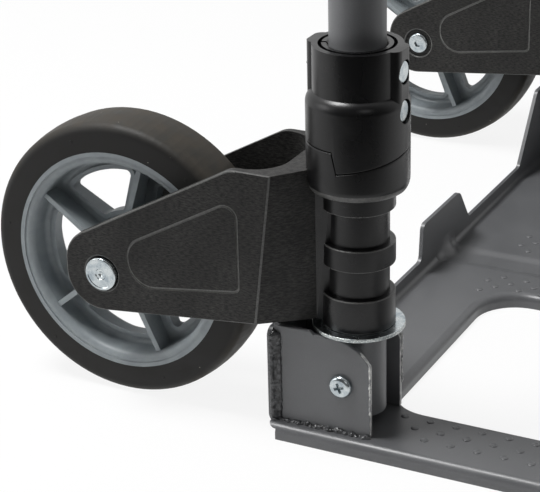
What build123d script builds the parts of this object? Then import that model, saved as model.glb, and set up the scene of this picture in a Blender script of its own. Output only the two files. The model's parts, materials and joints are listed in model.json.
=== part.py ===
from build123d import *
import os
from math import cos, pi, sin, sqrt

os.makedirs("parts", exist_ok=True)

# Folding hand truck. X runs across the truck, -Y is the load side with the toe plate, +Y the wheels,
# +Z up. The origin lies on the floor, midway between the two posts. All sizes are in millimetres.

# Posts and frame
post_spacing = 462.0
post_radius = 15.4
post_wall = 1.5
post_bottom = 15.0
post_top = 700.0
crossbar_radius = 11.0
crossbar_wall = 1.5
lower_crossbar_height = 300.0
upper_crossbar_height = 640.0

# Wheels
wheel_radius = 85.0
wheel_half_width = 17.9
tyre_shoulder_radius = 83.5
tyre_shoulder_offset = 14.9
tyre_corner_width = 1.6
tyre_corner_drop = 1.4
tyre_side_bulge = 0.1
rim_radius = 67.0
rim_flange = 2.9
tyre_seat_depth = 3.8
tyre_seat_taper = 0.5
rim_wall = 4.0
rim_step_width = 2.6
rim_step_depth = 0.6
hub_radius = 16.0
hub_half_length = 22.0
web_thickness = 4.0
spoke_count = 5
spoke_thickness = 3.2
spoke_recess = 4.0
wheel_turn = 14.4
rim_edge_fillet = 4.0
web_fillet = 3.0
window_lip_width = 2.8
window_lip_height = 1.6
window_inner_radius = 26.5
window_outer_radius = 52.0
window_margin = 9.3
window_fillet = 3.0
axle_back = 145.2
axle_radius = 6.0
axle_head_radius = 10.0
axle_head_height = 3.4
axle_head_fillet = 0.8
axle_head_stand = 2.0
axle_head_room = 0.6
axle_screw_radius = 3.0
axle_screw_length = 12.0
axle_screw_head_radius = 7.75
axle_screw_head_height = 2.6
axle_screw_head_fillet = 1.6
hub_bore_room = 2.0
bush_radius = 11.0
bush_depth = 10.0
bush_flange_radius = 13.5

# Swivel brackets
fork_half_width = 36.0
fork_wall = 5.0
fork_front = 36.0
fork_front_low = 47.0
fork_throat_radius = 20.0
fork_top_drop = 4.0
fork_knee = 60.5
fork_knee_radius = 16.0
fork_foot_rise = 3.1
fork_nose_reach = 23.8
fork_nose_radius = 22.0
fork_nose_rise = 17.2
fork_nose_drop = 25.7
panel_front = 55.8
panel_axle_gap = 16.7
panel_top_margin = 17.9
panel_front_margin = 18.0
panel_rear_margin = 15.2
panel_corner_radii = (4.0, 16.0, 15.0, 8.0)
panel_groove_width = 1.6
panel_groove_depth = 0.8
fork_root_half_width = 15.3
fork_root_back = 18.8
barrel_ring_radius = 20.6
barrel_neck_radius = 17.3
barrel_ring_height = 19.6
barrel_ring_gap = 17.4
middle_ring_height = 12.8
upper_neck_height = 19.9
top_ring_height = 11.2
collar_radius = 28.3
collar_skirt_height = 16.0
collar_taper_width = 2.0
collar_taper_height = 6.0

# Helical cam between the bracket and the fixed collar, and the drop that goes with a full fold
cam_rise = 12.0
cam_step_angle = 6.0
fold_drop = 8.0
cam_gap = 0.3
spring_well_radius = 23.2
spring_well_depth = 8.0
spring_well_rise = 14.0
spring_wire_radius = 1.6
spring_turns = 3.5
spring_facets = 12
spring_side_gap = 1.0
spring_gap = 0.3

# Fixed collars, bolted through the posts
collar_roof = 7.0
collar_shoulder_rise = 6.5
collar_neck_radius = 24.6
collar_neck_height = 25.5
collar_groove_depth = 6.0
collar_groove_outer = 21.2
collar_groove_inner = 19.2
collar_mouth = 1.4
collar_slit_angles = (-27.0, 110.0)
collar_slit_width = 2.0
boss_half_width = 9.0
boss_reach = 27.4
boss_height = 42.0
boss_corner = 5.0
boss_gap_width = 1.6
boss_gap_front = 17.0
collar_bolt_drops = (34.7, 12.9)
collar_bolt_radius = 3.0
collar_bolt_head_radius = 6.4
collar_bolt_head_height = 3.2
collar_bolt_head_fillet = 1.3
collar_bolt_recess = 0.6
collar_nut_flats = 10.0
collar_nut_height = 5.0

# Thrust washers
washer_radius = 26.2
washer_thickness = 2.3

# Toe plate
sheet = 2.5
pivot_height = 38.4
deck_height = 9.0
deck_overhang = 32.5
deck_front = 230.2
deck_corner_radius = 28.0
deck_edge_radius = 5.0
flange_back = 44.3
flange_bend = 4.0
flange_rim_height = 18.5
flange_end_outer = 27.0
flange_end_top = 54.0
flange_end_base = 89.0
flange_corner_radius = 5.0
tab_height = 43.4
tab_left = (-41.0, -38.2)
tab_right = (42.5, 25.0)
tab_right_radius = 9.0
channel_width = 12.0
channel_flank = 9.0
channel_depth = 1.4
channel_front = 120.0
gusset_radius = 9.0
gusset_reach = 9.0
cutout_inner = 17.0
cutout_outer = 188.0
cutout_back = 8.5
cutout_front = 150.0
cutout_post_corner = 25.0
cutout_web_corner = 28.0

# Side plates of the toe plate, either side of each post
side_plate_thickness = 3.0
outer_plate_face = 24.0
inner_plate_face = 20.5
side_plate_front = 17.5
side_plate_top = 66.5
side_plate_cam_radius = 26.0
side_plate_cam_centre = 5.5
side_plate_ear_start = 19.0
side_plate_ear_rise = 1.8

# Pivot screws
pivot_radius = 4.0
pivot_head_radius = 6.9
pivot_head_height = 3.3
pivot_head_fillet = 2.0
pivot_nut_flats = 13.0
pivot_nut_height = 6.0
pivot_spacer_radius = 7.0

# Telescopic handle and its clamps
handle_radius = 12.5
handle_wall = 1.5
handle_foot_stand = 21.0
handle_bend = 60.0
handle_stand = 6.0
grip_radius = 16.5
grip_half_length = 140.0
grip_end_fillet = 2.3
grip_groove_count = 7
grip_groove_pitch = 34.0
grip_groove_width = 3.0
grip_groove_depth = 1.2
glide_length = 12.0
glide_plug_length = 10.0
clamp_radius = 22.0
clamp_seat = 28.0
clamp_height = 52.0
clamp_rim = 2.0
clamp_slit = 2.0
ear_thickness = 8.0
ear_reach = 34.0
ear_height = 18.0
ear_drop = 4.0
ear_fillet = 4.5
bolt_line = 28.0
clamp_bolt_radius = 2.5
clamp_nut_flats = 8.0
clamp_nut_height = 4.0
barrel_pin_radius = 3.0
lever_lobe_radius = 7.5
lever_offset = 1.2
lever_height = 18.0
lever_thickness = 4.5
lever_gap = 2.2
lever_start_angle = 55.0
lever_sweep = 95.0
lever_tip_flare = 3.0
lever_tip_length = 8.0
lever_tip_margin = 2.0
lever_tip_fillet = 1.5

# Clearances, and how far shapes that are joined or cut run past each other
running_fit = 0.05
sliding_fit = 0.1
touch_gap = 0.3
overrun = 1.0

post_x = post_spacing / 2
post_bore = post_radius - post_wall
washer_bottom = side_plate_top + touch_gap
barrel_bottom = washer_bottom + washer_thickness
ring_top = barrel_bottom + barrel_ring_height
middle_ring_bottom = ring_top + barrel_ring_gap
middle_ring_top = middle_ring_bottom + middle_ring_height
top_ring_bottom = middle_ring_top + upper_neck_height
collar_bottom = top_ring_bottom + top_ring_height
cam_low = collar_bottom + collar_skirt_height
cam_high = cam_low + cam_rise
spring_well_floor = cam_low - spring_well_depth
spring_well_roof = cam_high + spring_well_rise
collar_shoulder_height = spring_well_roof + collar_roof
collar_neck_bottom = collar_shoulder_height + collar_shoulder_rise
collar_top_height = collar_neck_bottom + collar_neck_height
axle_height = wheel_radius
fork_bottom = barrel_bottom + fork_foot_rise
fork_top = cam_low - fork_top_drop
fork_nose_top = axle_height + fork_nose_rise
fork_nose_bottom = axle_height - fork_nose_drop
cam_inner = post_radius - overrun
cam_outer = collar_radius + overrun
arm_inner = fork_half_width - fork_wall
clamp_bottom = post_top - clamp_seat
clamp_top = clamp_bottom + clamp_height
handle_bottom = collar_top_height + handle_foot_stand
handle_top = clamp_top + handle_stand + handle_bend
collar_bolt_heights = [collar_top_height - drop for drop in collar_bolt_drops]
ear_middle = clamp_top - ear_drop - ear_height / 2
axle_end = fork_half_width - fork_wall / 2
head_seat = fork_half_width - axle_head_height + axle_head_stand


def cylinder_x(radius, x0, x1, y=0.0, z=0.0):
    """Round bar along X, from x0 to x1."""
    bar = Cylinder(radius, x1 - x0, rotation=(0, 90, 0))
    return Pos((x0 + x1) / 2, y, z) * bar


def cylinder_y(radius, y0, y1, x=0.0, z=0.0):
    """Round bar along Y, from y0 to y1."""
    bar = Cylinder(radius, y1 - y0, rotation=(90, 0, 0))
    return Pos(x, (y0 + y1) / 2, z) * bar


def cylinder_z(radius, z0, z1, x=0.0, y=0.0):
    """Round bar along Z, from z0 to z1."""
    return Pos(x, y, (z0 + z1) / 2) * Cylinder(radius, z1 - z0)


def block(x0, x1, y0, y1, z0, z1):
    """Plain block between two corners."""
    return Pos((x0 + x1) / 2, (y0 + y1) / 2, (z0 + z1) / 2) * Box(x1 - x0, y1 - y0, z1 - z0)


def side_outline(points, x0, x1, fillets=()):
    """Slab from x0 to x1 with an outline of (y, z) points, some of its corners rounded."""
    face = make_face(Polyline(*points, close=True))
    for index, radius in fillets:
        y, z = points[index]
        corner = face.vertices().sort_by_distance((y, z, 0))[0]
        face = fillet(corner, radius)
    return Pos(x0, 0, 0) * extrude(Plane.YZ * face, amount=x1 - x0)


def hexagon_x(flats, x0, x1, y, z):
    """Hexagonal nut blank along X."""
    face = RegularPolygon(flats / 2, 6, major_radius=False)
    return Pos(x0, y, z) * extrude(Plane.YZ * face, amount=x1 - x0)


def hexagon_y(flats, y0, y1, x, z):
    """Hexagonal nut blank along Y."""
    face = RegularPolygon(flats / 2, 6, major_radius=False)
    return Pos(x, y0, z) * extrude(Plane.XZ * face, amount=y0 - y1)


# ---------------------------------------------------------------- posts and crossbars

def post():
    """Steel tube, drilled for the pivot screw at its foot and for the two collar bolts."""
    tube = cylinder_z(post_radius, post_bottom, post_top) - cylinder_z(post_bore, post_bottom, post_top)
    reach = post_radius + overrun
    tube -= cylinder_x(pivot_radius + running_fit, -reach, reach, 0, pivot_height)
    for height in collar_bolt_heights:
        tube -= cylinder_y(collar_bolt_radius + running_fit, -reach, reach, 0, height)
    return tube


def crossbar(height):
    """Tube between the posts, its ends coped to the round of the posts."""
    bar = cylinder_x(crossbar_radius, -post_x, post_x, 0, height)
    bar -= cylinder_x(crossbar_radius - crossbar_wall, -post_x, post_x, 0, height)
    for side in (-1, 1):
        bar -= cylinder_z(post_radius, height - 2 * crossbar_radius, height + 2 * crossbar_radius, side * post_x)
    return bar


# ---------------------------------------------------------------- the helical cam

def ramp(start_angle, sweep, rise, height, depth):
    """Solid of the given depth whose underside is a helical ramp round the post."""
    pitch = rise * 360 / abs(sweep)
    rails = [Helix(pitch, rise, radius, lefthand=sweep < 0) for radius in (cam_inner, cam_outer)]
    face = Face.make_surface_from_curves(rails[0], rails[1])
    return Pos(0, 0, height) * Rot(0, 0, start_angle) * extrude(face, amount=depth, dir=(0, 0, 1))


def above_cam(lowering):
    """Everything above the seam of the cam: tooth step, helical ramp and level part."""
    depth = collar_top_height - cam_low
    ramp_sweep = 90 * cam_rise / fold_drop
    level_sweep = 360 - ramp_sweep - cam_step_angle
    low = cam_low - lowering
    tooth = ramp(180, ramp_sweep, cam_rise, low, depth) + ramp(180, -cam_step_angle, cam_rise, low, depth)
    section = Plane.XZ * Pos((cam_inner + cam_outer) / 2, depth / 2) * Rectangle(cam_outer - cam_inner, depth)
    level = revolve(section, Axis.Z, level_sweep)
    return tooth + Pos(0, 0, low + cam_rise) * Rot(0, 0, 180 + ramp_sweep) * level


# ---------------------------------------------------------------- fixed collar

def upper_collar():
    """Moulded collar bolted to the post: cam skirt below, split-ring top and two bolt bosses."""
    shoulder = (collar_radius, collar_shoulder_height)
    shoulder_top = (collar_neck_radius, collar_neck_bottom)
    below = Polyline((post_radius, collar_top_height), (post_radius, cam_low), (collar_radius, cam_low), shoulder)
    above = Polyline(shoulder_top, (collar_neck_radius, collar_top_height), (post_radius, collar_top_height))
    rounding = TangentArc(shoulder, shoulder_top, tangent=(0, 1))
    body = revolve(Plane.XZ * make_face([*below.edges(), *rounding.edges(), *above.edges()]), Axis.Z)
    boss_bottom = collar_top_height - boss_height
    boss = block(-boss_half_width, boss_half_width, -boss_reach, boss_reach, boss_bottom, collar_top_height)
    boss = fillet(boss.edges().filter_by(Axis.Z), boss_corner)
    body += boss
    lip = collar_top_height - collar_groove_depth
    groove = cylinder_z(collar_groove_outer, lip, collar_top_height)
    body -= groove - cylinder_z(collar_groove_inner, lip, collar_top_height)
    for angle in collar_slit_angles:
        slit = block(post_radius, collar_groove_inner + overrun, -collar_slit_width / 2, collar_slit_width / 2,
                     lip, collar_top_height)
        body -= Rot(0, 0, angle) * slit
    mouth = Cone(post_radius, post_radius + collar_mouth, collar_mouth)
    body -= Pos(0, 0, collar_top_height - collar_mouth / 2) * mouth
    for side in (-1, 1):
        gap = sorted((side * boss_half_width, side * (boss_half_width + boss_gap_width)))
        body -= block(*gap, boss_gap_front, boss_reach, collar_neck_bottom, lip)
    body = body & above_cam(0)
    body -= cylinder_z(post_radius + running_fit, cam_low, collar_top_height)
    body -= cylinder_z(spring_well_radius, cam_low, spring_well_roof)
    for height in collar_bolt_heights:
        body -= cylinder_y(collar_bolt_radius + running_fit, -2 * boss_reach, 2 * boss_reach, 0, height)
        seat = -boss_reach + collar_bolt_recess + collar_bolt_head_height
        body -= cylinder_y(collar_bolt_head_radius + touch_gap, -2 * boss_reach, seat, 0, height)
        pocket = boss_reach - collar_nut_height
        body -= hexagon_y(collar_nut_flats + 2 * running_fit, pocket, 2 * boss_reach, 0, height)
    return body


def collar_bolts():
    """Two round-headed bolts through the collar and the post."""
    face = -boss_reach + collar_bolt_recess
    seat = face + collar_bolt_head_height
    bolts = []
    for height in collar_bolt_heights:
        head = cylinder_y(collar_bolt_head_radius, face, seat, 0, height)
        rim = head.edges().filter_by(GeomType.CIRCLE).sort_by(Axis.Y)[0]
        head = fillet(rim, collar_bolt_head_fillet)
        bolts.append(head + cylinder_y(collar_bolt_radius, seat, boss_reach, 0, height))
    return bolts


def collar_nuts():
    """Nuts held in the hexagonal pockets of the rear boss."""
    nuts = []
    for height in collar_bolt_heights:
        nut = hexagon_y(collar_nut_flats, boss_reach - collar_nut_height, boss_reach, 0, height)
        nuts.append(nut - cylinder_y(collar_bolt_radius + running_fit, 0, 2 * boss_reach, 0, height))
    return nuts


def cam_spring():
    """Compression spring in the well between the collar and the bracket."""
    bottom = spring_well_floor + spring_gap + spring_wire_radius
    top = spring_well_roof - spring_gap - spring_wire_radius
    coil_radius = spring_well_radius - spring_wire_radius - spring_side_gap
    steps = round(spring_turns * spring_facets)
    points = []
    for step in range(steps + 1):
        angle = 2 * pi * spring_turns * step / steps
        height = bottom + (top - bottom) * step / steps
        points.append((coil_radius * cos(angle), coil_radius * sin(angle), height))
    coil = Polyline(*points)
    section = Plane(coil @ 0, z_dir=coil % 0) * RegularPolygon(spring_wire_radius, 6)
    return sweep(section, coil, transition=Transition.RIGHT)


# ---------------------------------------------------------------- swivel bracket

def fork_plan():
    """Outline of the fork from above: two arms, tapered walls and a rounded throat."""
    reach = axle_back + 2 * fork_nose_reach
    half = [(fork_half_width, reach), (fork_half_width, fork_front), (fork_root_half_width, fork_root_back),
            (fork_root_half_width, 0)]
    outer = make_face(Polyline(*half, *[(-x, y) for x, y in reversed(half)], close=True))
    throat = Pos(0, fork_front + reach / 2) * Rectangle(2 * arm_inner, reach)
    near = throat.vertices().sort_by(Axis.Y)[:2]
    return outer - fillet(near, fork_throat_radius)


def fork_side(x0, x1):
    """Outline of the fork from the side, with its knee and rounded nose."""
    nose = axle_back + fork_nose_reach
    points = [
        (0, fork_bottom), (fork_front_low, fork_bottom), (nose, fork_nose_bottom), (nose, fork_nose_top),
        (fork_knee, fork_top), (0, fork_top),
    ]
    rounding = ((2, fork_nose_radius), (3, fork_nose_radius - 1), (4, fork_knee_radius))
    return side_outline(points, x0, x1, rounding)


def root_facet():
    """Half space outside the sloping facet that narrows the left foot of the fork."""
    knee = Vector(-fork_half_width, fork_front, fork_top)
    knee_low = Vector(-fork_half_width, fork_front_low, fork_bottom)
    root_low = Vector(-fork_root_half_width, fork_root_back, fork_bottom)
    outward = (knee_low - knee).cross(root_low - knee)
    reach = 2 * fork_top
    return Plane(knee, x_dir=knee_low - knee, z_dir=outward) * Pos(0, 0, reach / 2) * Box(reach, reach, reach)


def panel_groove():
    """Shallow groove that frames the panel on the outside of each arm."""
    rear = axle_back - panel_axle_gap
    nose = axle_back + fork_nose_reach
    top_slope = (fork_nose_top - fork_top) / (nose - fork_knee)
    bottom_slope = (fork_nose_bottom - fork_bottom) / (nose - fork_front_low)
    rear_bottom = fork_bottom + bottom_slope * (rear - fork_front_low) + panel_rear_margin
    front_bottom = fork_bottom + bottom_slope * (panel_front - fork_front_low) + panel_front_margin
    rear_top = fork_top + top_slope * (rear - fork_knee) - panel_top_margin
    front_top = fork_top + top_slope * (panel_front - fork_knee) - panel_top_margin
    points = [(panel_front, front_bottom), (rear, rear_bottom), (rear, rear_top), (panel_front, front_top)]
    face = make_face(Polyline(*points, close=True))
    for point, radius in zip(points, panel_corner_radii):
        corner = face.vertices().sort_by_distance((*point, 0))[0]
        face = fillet(corner, radius)
    ring = face - offset(face, -panel_groove_width)
    floor = fork_half_width - panel_groove_depth
    cut = extrude(Plane.YZ * ring, amount=2 * panel_groove_depth)
    return [Pos(floor, 0, 0) * cut, Pos(-floor - 2 * panel_groove_depth, 0, 0) * cut]


def bracket():
    """Swivel bracket in one moulding: ringed barrel, cam collar and wheel fork."""
    collar_foot = (collar_radius - collar_taper_width, collar_bottom)
    collar_side = (collar_radius, collar_bottom + collar_taper_height)
    below = Polyline(
        (0, cam_high), (0, barrel_bottom), (barrel_ring_radius, barrel_bottom), (barrel_ring_radius, ring_top),
        (barrel_neck_radius, ring_top), (barrel_neck_radius, middle_ring_bottom),
        (barrel_ring_radius, middle_ring_bottom), (barrel_ring_radius, middle_ring_top),
        (barrel_neck_radius, middle_ring_top), (barrel_neck_radius, top_ring_bottom),
        (barrel_ring_radius, top_ring_bottom), (barrel_ring_radius, collar_bottom), collar_foot)
    above = Polyline(collar_side, (collar_radius, cam_high), (0, cam_high))
    rounding = TangentArc(collar_side, collar_foot, tangent=(0, -1))
    body = revolve(Plane.XZ * make_face([*below.edges(), *rounding.edges(), *above.edges()]), Axis.Z)
    fork = extrude(fork_plan(), amount=2 * fork_top) & fork_side(-fork_half_width, fork_half_width)
    facet = root_facet()
    body += fork - facet - mirror(facet, about=Plane.YZ)
    body -= above_cam(cam_gap)
    body -= cylinder_z(post_radius + sliding_fit, 0, collar_top_height)
    body -= cylinder_z(spring_well_radius, spring_well_floor, collar_top_height)
    for cut in panel_groove():
        body -= cut
    reach = fork_half_width + overrun
    body -= cylinder_x(axle_radius + running_fit, -reach, reach, axle_back, axle_height)
    for ends in ((-reach, -head_seat), (head_seat, reach)):
        body -= cylinder_x(axle_head_radius + axle_head_room, *ends, axle_back, axle_height)
    return body


def axle_pin():
    """Wheel axle with a broad flat head on the outside and a tapped inner end."""
    head = cylinder_x(axle_head_radius, -head_seat - axle_head_height, -head_seat)
    rim = head.edges().filter_by(GeomType.CIRCLE).sort_by(Axis.X)[0]
    head = fillet(rim, axle_head_fillet)
    pin = head + cylinder_x(axle_radius, -head_seat, axle_end)
    pin -= cylinder_x(axle_screw_radius + running_fit, axle_end - axle_screw_length, axle_end)
    return Pos(0, axle_back, axle_height) * pin


def axle_screw():
    """Button-headed screw that holds the inner end of the axle."""
    head = cylinder_x(axle_screw_head_radius, head_seat, head_seat + axle_screw_head_height)
    rim = head.edges().filter_by(GeomType.CIRCLE).sort_by(Axis.X)[-1]
    head = fillet(rim, axle_screw_head_fillet)
    screw = head + cylinder_x(axle_screw_radius, axle_end - axle_screw_length + touch_gap, head_seat)
    return Pos(0, axle_back, axle_height) * screw


# ---------------------------------------------------------------- wheel

def tyre():
    """Solid rubber tyre with a flat tread, round shoulders and a foot that sits in the rim."""
    seat = rim_radius - tyre_seat_depth
    foot = wheel_half_width - rim_flange
    edge = wheel_half_width
    bulge = edge + tyre_side_bulge
    bulge_radius = (rim_radius + tyre_shoulder_radius) / 2
    corner = tyre_shoulder_offset + tyre_corner_width
    corner_radius = tyre_shoulder_radius - tyre_corner_drop
    with BuildSketch() as section:
        with BuildLine():
            Polyline((-edge, rim_radius), (-foot, rim_radius), (-foot + tyre_seat_taper, seat),
                     (foot - tyre_seat_taper, seat), (foot, rim_radius), (edge, rim_radius))
            ThreePointArc((edge, rim_radius), (bulge, bulge_radius), (corner, corner_radius))
            Line((corner, corner_radius), (tyre_shoulder_offset, tyre_shoulder_radius))
            ThreePointArc((tyre_shoulder_offset, tyre_shoulder_radius), (0, wheel_radius),
                          (-tyre_shoulder_offset, tyre_shoulder_radius))
            Line((-tyre_shoulder_offset, tyre_shoulder_radius), (-corner, corner_radius))
            ThreePointArc((-corner, corner_radius), (-bulge, bulge_radius), (-edge, rim_radius))
        make_face()
    return Pos(0, axle_back, axle_height) * revolve(section.sketch, Axis.X)


def window():
    """Fan-shaped window between two spokes, drawn round the wheel's centre."""
    half = pi / spoke_count
    wedge_reach = 2 * window_outer_radius
    apex = window_margin / sin(half)
    wedge = make_face(Polyline(
        (apex, 0), (apex + wedge_reach * cos(half), wedge_reach * sin(half)),
        (apex + wedge_reach * cos(half), -wedge_reach * sin(half)), close=True))
    fan = (Circle(window_outer_radius) - Circle(window_inner_radius)) & wedge
    return fillet(fan.vertices(), window_fillet)


def rim():
    """Moulded wheel centre: channel for the tyre, web with fan windows, ribs and hub."""
    seat = rim_radius - tyre_seat_depth
    foot = wheel_half_width - rim_flange
    barrel = seat - rim_wall
    edge = wheel_half_width
    inner_edge = edge - rim_step_depth
    step_radius = rim_radius - rim_step_width
    half_web = web_thickness / 2
    half = [(0, seat), (foot - tyre_seat_taper, seat), (foot, rim_radius), (edge, rim_radius),
            (edge, step_radius), (inner_edge, step_radius), (inner_edge, barrel), (half_web, barrel),
            (half_web, hub_radius), (0, hub_radius)]
    section = make_face(Polyline(*half, close=True))
    section += mirror(section, about=Plane.YZ)
    for side in (-1, 1):
        for x, radius in ((side * inner_edge, rim_edge_fillet), (side * half_web, web_fillet)):
            section = fillet(section.vertices().sort_by_distance((x, barrel, 0))[0], radius)
    wheel = revolve(section, Axis.X) + cylinder_x(hub_radius, -hub_half_length, hub_half_length)
    lip_half = half_web + window_lip_height
    opening = window()
    surround = offset(opening, window_lip_width)
    for step in range(spoke_count):
        turn = Rot(0, 0, 90 + wheel_turn + 360 * (step + 0.5) / spoke_count)
        wheel += extrude(Plane.YZ * turn * surround, amount=lip_half, both=True)
    for step in range(spoke_count):
        turn = Rot(0, 0, 90 + wheel_turn + 360 * (step + 0.5) / spoke_count)
        wheel -= extrude(Plane.YZ * turn * opening, amount=edge, both=True)
    spoke_end = wheel_half_width - spoke_recess
    spoke_root = hub_half_length - spoke_recess
    spoke = make_face(Polyline(
        (-spoke_root, bush_radius + overrun), (-spoke_end, barrel + overrun), (spoke_end, barrel + overrun),
        (spoke_root, bush_radius + overrun), close=True))
    blade = extrude(Plane.XZ * spoke, amount=spoke_thickness / 2, both=True)
    for step in range(spoke_count):
        wheel += Rot(wheel_turn + 360 * step / spoke_count, 0, 0) * blade
    wheel -= cylinder_x(axle_radius + hub_bore_room, -hub_half_length, hub_half_length)
    for side in (-1, 1):
        ends = sorted((side * hub_half_length, side * (hub_half_length - bush_depth)))
        wheel -= cylinder_x(bush_radius, *ends)
    return Pos(0, axle_back, axle_height) * wheel


def wheel_bushes():
    """Pair of flanged bushes that carry the wheel on its axle, one in each end of the hub."""
    bushes = []
    for side in (-1, 1):
        inside = side * (hub_half_length - bush_depth)
        flange = side * hub_half_length
        outside = side * (arm_inner - touch_gap)
        sleeve = cylinder_x(bush_radius, *sorted((inside, flange)))
        collar = cylinder_x(bush_flange_radius, *sorted((flange, outside)))
        bore = cylinder_x(axle_radius + running_fit, -fork_half_width, fork_half_width)
        bushes.append(Pos(0, axle_back, axle_height) * (sleeve + collar - bore))
    return bushes


# ---------------------------------------------------------------- washer, pivot and side plates

def thrust_washer():
    """Steel washer under the bracket's barrel, on top of the side plates."""
    ring = cylinder_z(washer_radius, washer_bottom, barrel_bottom)
    return ring - cylinder_z(post_radius + sliding_fit, washer_bottom, barrel_bottom)


def side_plate(x0, x1, ear):
    """Plate welded to the toe plate beside a post, its front top corner rounded as a cam."""
    foot = deck_height
    back = flange_back - sheet
    top = side_plate_top
    drop = side_plate_cam_radius - sqrt(
        side_plate_cam_radius ** 2 - (side_plate_cam_centre + side_plate_front) ** 2)
    cam_start = (side_plate_cam_centre, top)
    cam_end = (-side_plate_front, top - drop)
    with BuildSketch(Plane.YZ) as section:
        with BuildLine():
            RadiusArc(cam_start, cam_end, -side_plate_cam_radius)
            Polyline(cam_end, (-side_plate_front, foot), (back - flange_bend, foot),
                     (back, foot + flange_bend), (back, top), cam_start)
        make_face()
    plate = Pos(x0, 0, 0) * extrude(section.sketch, amount=x1 - x0)
    if ear:
        ear_top = top + side_plate_ear_rise
        ear_front = side_plate_ear_start - side_plate_ear_rise
        plate += side_outline([(ear_front, top), (side_plate_ear_start, ear_top), (back, ear_top), (back, top)],
                              x0, x1)
    return plate - cylinder_x(pivot_radius + running_fit, x0, x1, 0, pivot_height)


def outer_side_plate():
    """Side plate on the outside of the post, with a raised ear behind the washer."""
    return side_plate(-outer_plate_face, -outer_plate_face + side_plate_thickness, True)


def inner_side_plate():
    """Side plate between the post and the cut-out."""
    return side_plate(inner_plate_face - side_plate_thickness, inner_plate_face, False)


def pivot_screw():
    """Pan-headed screw through both side plates and the post."""
    head = cylinder_x(pivot_head_radius, -outer_plate_face - touch_gap - pivot_head_height,
                      -outer_plate_face - touch_gap, 0, pivot_height)
    rim = head.edges().filter_by(GeomType.CIRCLE).sort_by(Axis.X)[0]
    head = fillet(rim, pivot_head_fillet)
    end = inner_plate_face + touch_gap + pivot_nut_height
    return head + cylinder_x(pivot_radius, -outer_plate_face - touch_gap, end, 0, pivot_height)


def pivot_nut():
    """Lock nut on the inner end of the pivot screw."""
    start = inner_plate_face + touch_gap
    nut = hexagon_x(pivot_nut_flats, start, start + pivot_nut_height, 0, pivot_height)
    return nut - cylinder_x(pivot_radius + running_fit, start, start + pivot_nut_height, 0, pivot_height)


def pivot_spacers():
    """Nylon sleeves that hold the post in the middle between the side plates."""
    bore = cylinder_x(pivot_radius + running_fit, -outer_plate_face, outer_plate_face, 0, pivot_height)
    keep = cylinder_z(post_radius + running_fit, post_bottom, side_plate_top)
    outer_end = -outer_plate_face + side_plate_thickness + touch_gap
    inner_end = inner_plate_face - side_plate_thickness - touch_gap
    spacers = []
    for end in (outer_end, inner_end):
        bar = cylinder_x(pivot_spacer_radius, *sorted((0.0, end)), 0, pivot_height)
        spacers.append(bar - keep - bore)
    return spacers


# ---------------------------------------------------------------- toe plate

def cutout(inset):
    """Outline of the left wheel cut-out, grown by inset, in the toe plate's own plan."""
    x0 = -post_x + cutout_inner - inset
    x1 = -post_x + cutout_outer + inset
    y0 = -cutout_front - inset
    y1 = -cutout_back + inset
    face = Pos((x0 + x1) / 2, (y0 + y1) / 2) * Rectangle(x1 - x0, y1 - y0)
    corners = face.vertices().group_by(Axis.X)
    post_side, web_side = corners[0], corners[-1]
    face = fillet(post_side, cutout_post_corner + inset)
    web_side = face.vertices().group_by(Axis.X)[-1]
    return fillet(web_side, cutout_web_corner + inset)


def deck_pan(inset):
    """Solid block of the deck, or of the space under it when inset by the sheet's thickness."""
    half = post_x + deck_overhang - inset
    y0 = -deck_front + inset
    y1 = flange_back
    top = deck_height - inset
    outline = Pos(0, (y0 + y1) / 2) * Rectangle(2 * half, y1 - y0)
    front = outline.vertices().sort_by(Axis.Y)[:2]
    outline = fillet(front, deck_corner_radius - inset)
    left = cutout(inset)
    outline = outline - left - mirror(left, about=Plane.YZ)
    pan = extrude(outline, amount=top)
    rim = pan.edges().group_by(Axis.Z)[-1]
    rim = [edge for edge in rim if edge.center().Y < y1 - overrun]
    return fillet(rim, deck_edge_radius - inset)


def flange_outline():
    """Outline of the upturned rear flange: tall ends round the posts, low rim and centre tab."""
    end_outer = post_x + flange_end_outer
    end = [(post_x - flange_end_base, flange_rim_height), (post_x - flange_end_top, side_plate_top),
           (end_outer, side_plate_top)]
    tab = [(tab_left[0], flange_rim_height), (tab_left[1], tab_height), (tab_right[1], tab_height),
           (tab_right[0], flange_rim_height)]
    far_end = [(-x, z) for x, z in reversed(end)]
    face = make_face(Polyline((-end_outer, 0), *far_end, *tab, *end, (end_outer, 0), close=True))
    for point in far_end + tab + end:
        radius = tab_right_radius if point == tab[2] else flange_corner_radius
        corner = face.vertices().sort_by_distance((*point, 0))[0]
        face = fillet(corner, radius)
    return face


def channel(top):
    """Soft-sided trough along the middle of the deck, from the rear bend forward, open at the top."""
    floor = top - channel_depth
    half = channel_width / 2
    middle = (half + channel_flank / 2, top - channel_depth / 2)
    shore = (half + channel_flank, top)
    outer = TangentArc(shore, middle, tangent=(-1, 0))
    inner = TangentArc((half, floor), middle, tangent=(1, 0))
    lines = Polyline((half, floor), (0, floor), (0, top + overrun), (half + channel_flank, top + overrun), shore)
    section = make_face([*lines.edges(), *outer.edges(), *inner.edges()])
    section += mirror(section, about=Plane.YZ)
    trough = extrude(Plane.XZ * section, amount=channel_front)
    return Pos(0, flange_back - sheet - flange_bend, 0) * trough


def gusset():
    """Round-backed rib pressed across the rear bend, at the end of the trough."""
    face = flange_back - sheet
    low = deck_height - channel_depth
    sunk = gusset_radius - gusset_reach / sqrt(2)
    rib = Rot(-45, 0, 0) * Cylinder(gusset_radius, 4 * gusset_radius)
    rib = Pos(0, face + sunk / sqrt(2), low - sunk / sqrt(2)) * rib
    return rib & block(-gusset_radius, gusset_radius, face - 2 * gusset_reach, face + overrun,
                       low - overrun, low + 2 * gusset_reach)


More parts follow.
